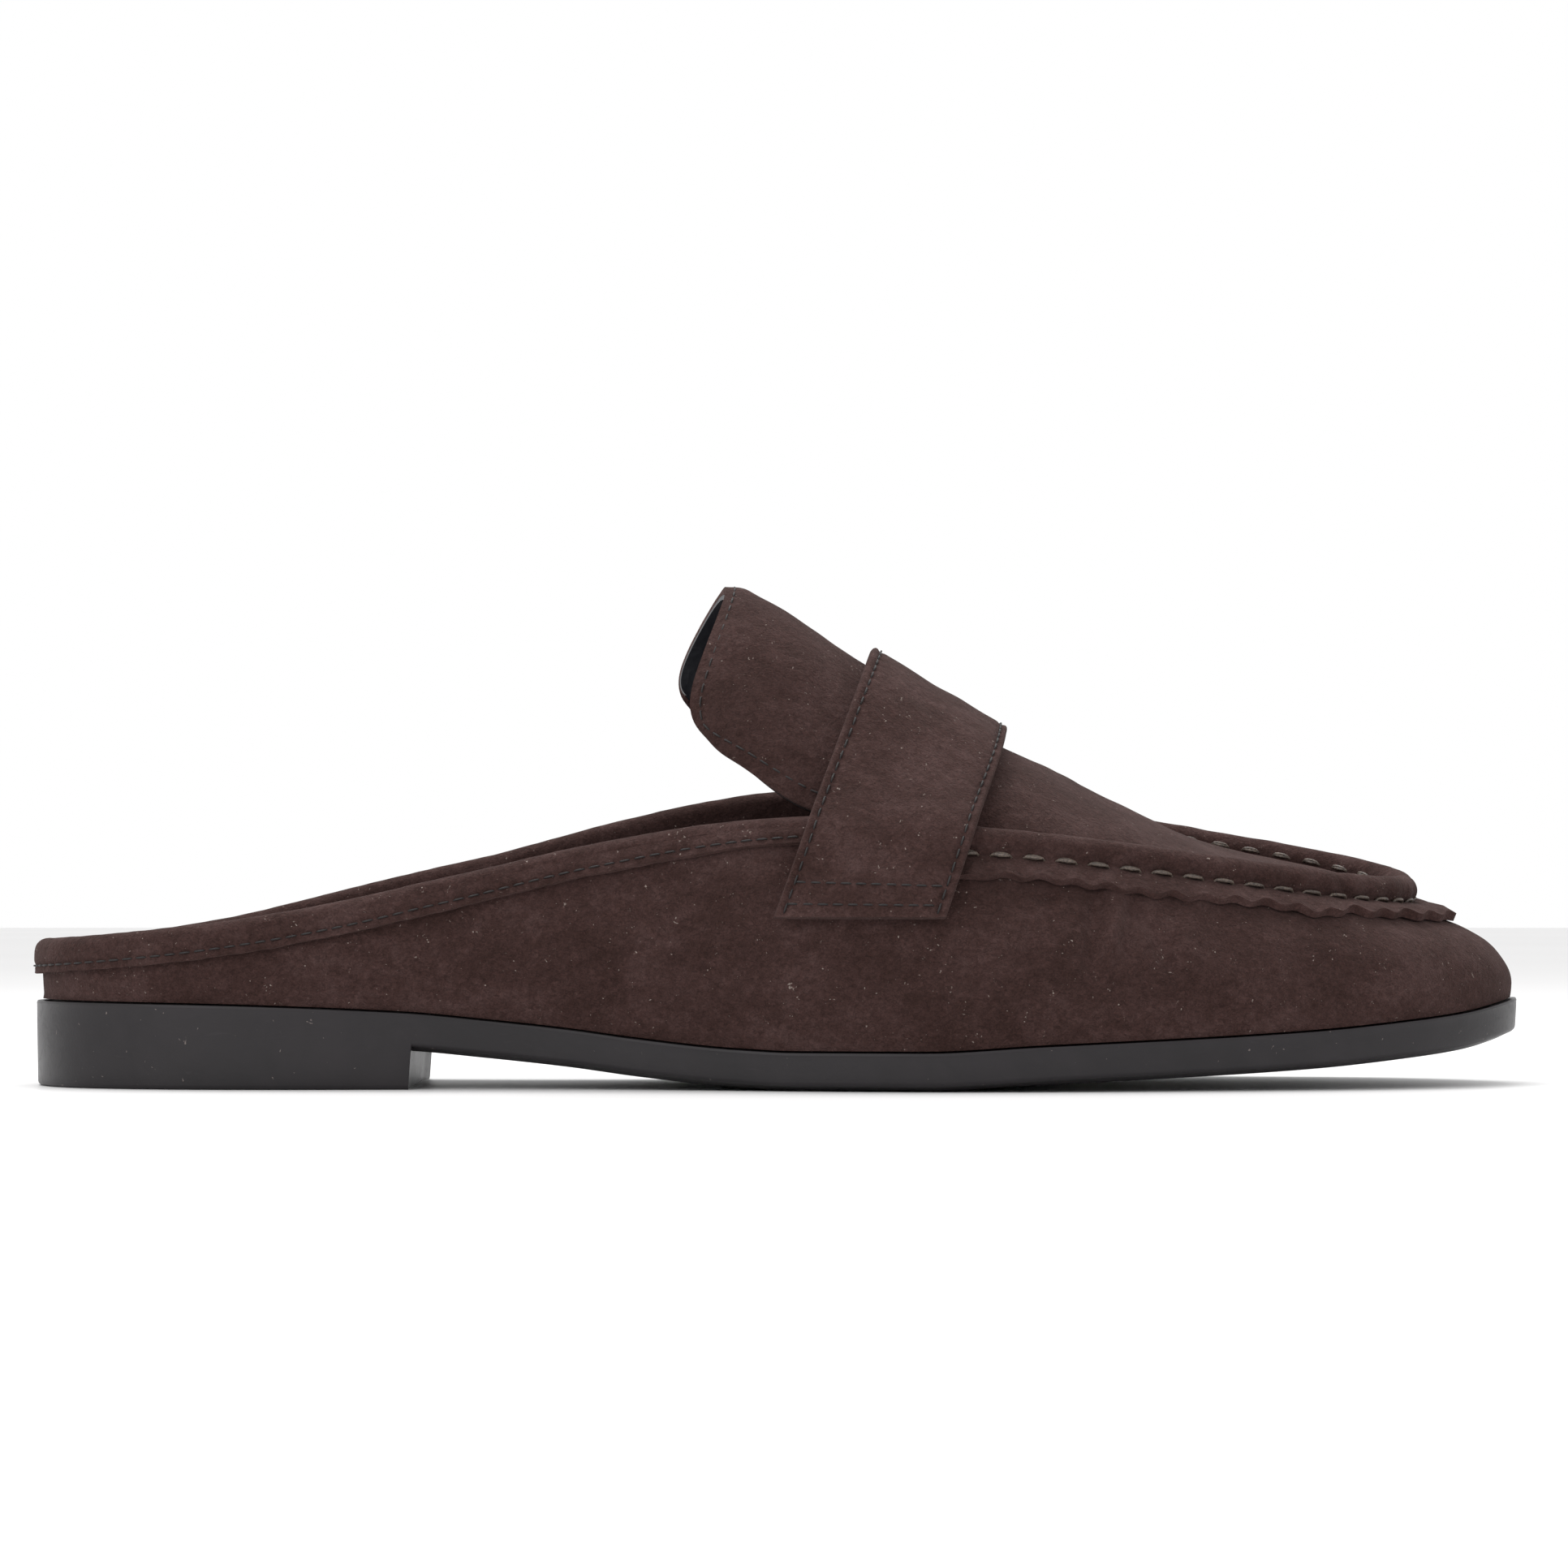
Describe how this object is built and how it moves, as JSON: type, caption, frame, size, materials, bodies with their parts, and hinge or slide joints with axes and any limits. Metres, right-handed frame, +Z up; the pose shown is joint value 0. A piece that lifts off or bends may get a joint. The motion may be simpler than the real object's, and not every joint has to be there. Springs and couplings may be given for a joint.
{
  "type": "loafer mule",
  "caption": "Right backless suede loafer mule with rolled apron seam, wide strap, raised tongue, rolled collar and moulded low-heeled sole.",
  "frame": {"origin": "on the floor, under the middle of the shoe's box", "axes": "+X to the toe, -Y to the outer side of the right foot, +Z up"},
  "size_m": [0.2565, 0.0856, 0.0858],
  "materials": {
    "sole": "satin moulded",
    "sock": "smooth satin",
    "upper_suede": "suede nap",
    "apron_suede": "suede nap",
    "roll_suede": "suede nap",
    "binding": "suede nap",
    "strap_suede": "suede nap"
  },
  "bodies": {
    "root": {"outsole": "sole", "insole": "sock", "upper": "upper_suede", "apron_tongue": "apron_suede", "moc_seam_roll": "roll_suede", "collar_binding": "binding", "saddle_strap": "strap_suede"}
  },
  "joints": []
}
